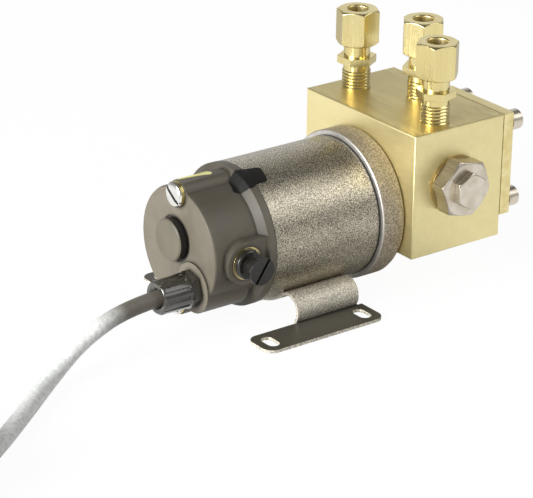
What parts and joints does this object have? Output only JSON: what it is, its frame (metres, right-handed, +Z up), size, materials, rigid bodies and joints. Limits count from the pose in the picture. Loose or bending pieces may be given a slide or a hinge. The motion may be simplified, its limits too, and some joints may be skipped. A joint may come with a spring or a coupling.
{
  "type": "reversible hydraulic pump",
  "caption": "Motor-driven reversible gear pump: a round motor on a folded foot bracket, a square brass valve block and upright tube fittings on top.",
  "frame": {"origin": "centre of the four foot slots, on the underside of the feet", "axes": "+X along the motor shaft from the cord end to the pump block, +Z up, -Y the near side of the picture"},
  "size_m": [0.4295, 0.163, 0.124],
  "materials": {
    "motor_tube": "dark grey hammered paint",
    "end_cover": "satin olive-grey paint",
    "rear_cap": "satin grey paint",
    "through_bolts": "bright zinc",
    "brush_sleeves": "turned",
    "carbon_brushes": "carbon",
    "brush_springs": "spring steel",
    "brush_caps": "moulded black",
    "magnets": "sintered ferrite",
    "armature_core": "stacked sheet",
    "armature_windings": "enamelled copper",
    "commutator": "copper segments",
    "motor_shaft": "ground",
    "rear_bearing": "ground",
    "front_flange": "warm grey hammered paint",
    "front_bearing": "ground",
    "shaft_seal": "black",
    "flange_seal": "black",
    "flange_screws": "black oxide",
    "mounting_bracket": "olive-grey hammered paint",
    "drive_gear": "ground",
    "driven_gear": "ground",
    "idler_pin": "ground",
    "bush_plate": "bronze",
    "pump_block": "machined brass",
    "shuttle_piston": "ground",
    "valve_seats": "turned",
    "check_poppet_near": "ground",
    "check_poppet_far": "ground",
    "check_spring_near": "spring steel",
    "check_spring_far": "spring steel",
    "valve_plugs": "nickel plated",
    "plug_washers": "copper",
    "plug_caps": "nickel plated",
    "relief_ball_near": "ground",
    "relief_ball_far": "ground",
    "relief_spring_near": "spring steel",
    "relief_spring_far": "spring steel",
    "cover_plate": "machined brass",
    "plate_seal": "black",
    "plate_screws": "zinc plated",
    "fitting_bodies": "polished brass",
    "fitting_nuts": "polished brass",
    "fitting_olives": "plain",
    "gland_body": "black nylon",
    "gland_nut": "black nylon",
    "gland_seal": "black",
    "cord_run": "grey sheath",
    "cord_coil": "grey sheath",
    "cord_tail": "grey sheath",
    "coil_tie": "black strap",
    "cord_sleeve": "black shrink sleeve",
    "cord_cores": "insulated core",
    "ring_terminals": "tinned"
  },
  "bodies": {
    "pump_unit": {"motor_tube": "motor_tube", "end_cover": "end_cover", "rear_cap": "rear_cap", "through_bolts": "through_bolts", "brush_sleeves": "brush_sleeves", "carbon_brushes": "carbon_brushes", "brush_springs": "brush_springs", "brush_caps": "brush_caps", "magnets": "magnets", "rear_bearing": "rear_bearing", "front_flange": "front_flange", "front_bearing": "front_bearing", "shaft_seal": "shaft_seal", "flange_seal": "flange_seal", "flange_screws": "flange_screws", "mounting_bracket": "mounting_bracket", "idler_pin": "idler_pin", "bush_plate": "bush_plate", "pump_block": "pump_block", "valve_seats": "valve_seats", "check_spring_near": "check_spring_near", "check_spring_far": "check_spring_far", "valve_plugs": "valve_plugs", "plug_washers": "plug_washers", "plug_caps": "plug_caps", "relief_spring_near": "relief_spring_near", "relief_spring_far": "relief_spring_far", "cover_plate": "cover_plate", "plate_seal": "plate_seal", "plate_screws": "plate_screws", "fitting_bodies": "fitting_bodies", "fitting_nuts": "fitting_nuts", "fitting_olives": "fitting_olives", "gland_body": "gland_body", "gland_nut": "gland_nut", "gland_seal": "gland_seal", "cord_run": "cord_run", "cord_coil": "cord_coil", "cord_tail": "cord_tail", "coil_tie": "coil_tie", "cord_sleeve": "cord_sleeve", "cord_cores": "cord_cores", "ring_terminals": "ring_terminals"},
    "rotor": {"motor_shaft": "motor_shaft", "armature_core": "armature_core", "armature_windings": "armature_windings", "commutator": "commutator", "drive_gear": "drive_gear"},
    "idler": {"driven_gear": "driven_gear"},
    "shuttle": {"shuttle_piston": "shuttle_piston"},
    "poppet_near": {"check_poppet_near": "check_poppet_near"},
    "poppet_far": {"check_poppet_far": "check_poppet_far"},
    "relief_near": {"relief_ball_near": "relief_ball_near"},
    "relief_far": {"relief_ball_far": "relief_ball_far"}
  },
  "joints": [
    {"name": "rotor_spin", "type": "hinge", "parent": "pump_unit", "child": "rotor", "pos_m": [0, 0, 0.0387], "axis": [1, 0, 0], "continuous": true},
    {"name": "idler_spin", "type": "hinge", "parent": "pump_unit", "child": "idler", "pos_m": [0, 0, 0.0552], "axis": [1, 0, 0], "continuous": true},
    {"name": "shuttle_slide", "type": "slide", "parent": "pump_unit", "child": "shuttle", "axis": [0, 1, 0], "range_m": [-0.0015, 0.0015]},
    {"name": "poppet_near_slide", "type": "slide", "parent": "pump_unit", "child": "poppet_near", "axis": [0, -1, 0], "range_m": [0, 0.003], "stiffness_N_per_m": 600, "springref_m": -0.004, "deforming": ["check_spring_near"]},
    {"name": "poppet_far_slide", "type": "slide", "parent": "pump_unit", "child": "poppet_far", "axis": [0, 1, 0], "range_m": [0, 0.003], "stiffness_N_per_m": 600, "springref_m": -0.004, "deforming": ["check_spring_far"]},
    {"name": "relief_near_slide", "type": "slide", "parent": "pump_unit", "child": "relief_near", "axis": [1, 0, 0], "range_m": [0, 0.001], "stiffness_N_per_m": 2000, "springref_m": -0.003, "deforming": ["relief_spring_near"]},
    {"name": "relief_far_slide", "type": "slide", "parent": "pump_unit", "child": "relief_far", "axis": [1, 0, 0], "range_m": [0, 0.001], "stiffness_N_per_m": 2000, "springref_m": -0.003, "deforming": ["relief_spring_far"]}
  ],
  "couplings": [
    {"joint": "idler_spin", "follows": "rotor_spin", "ratio": -1}
  ]
}
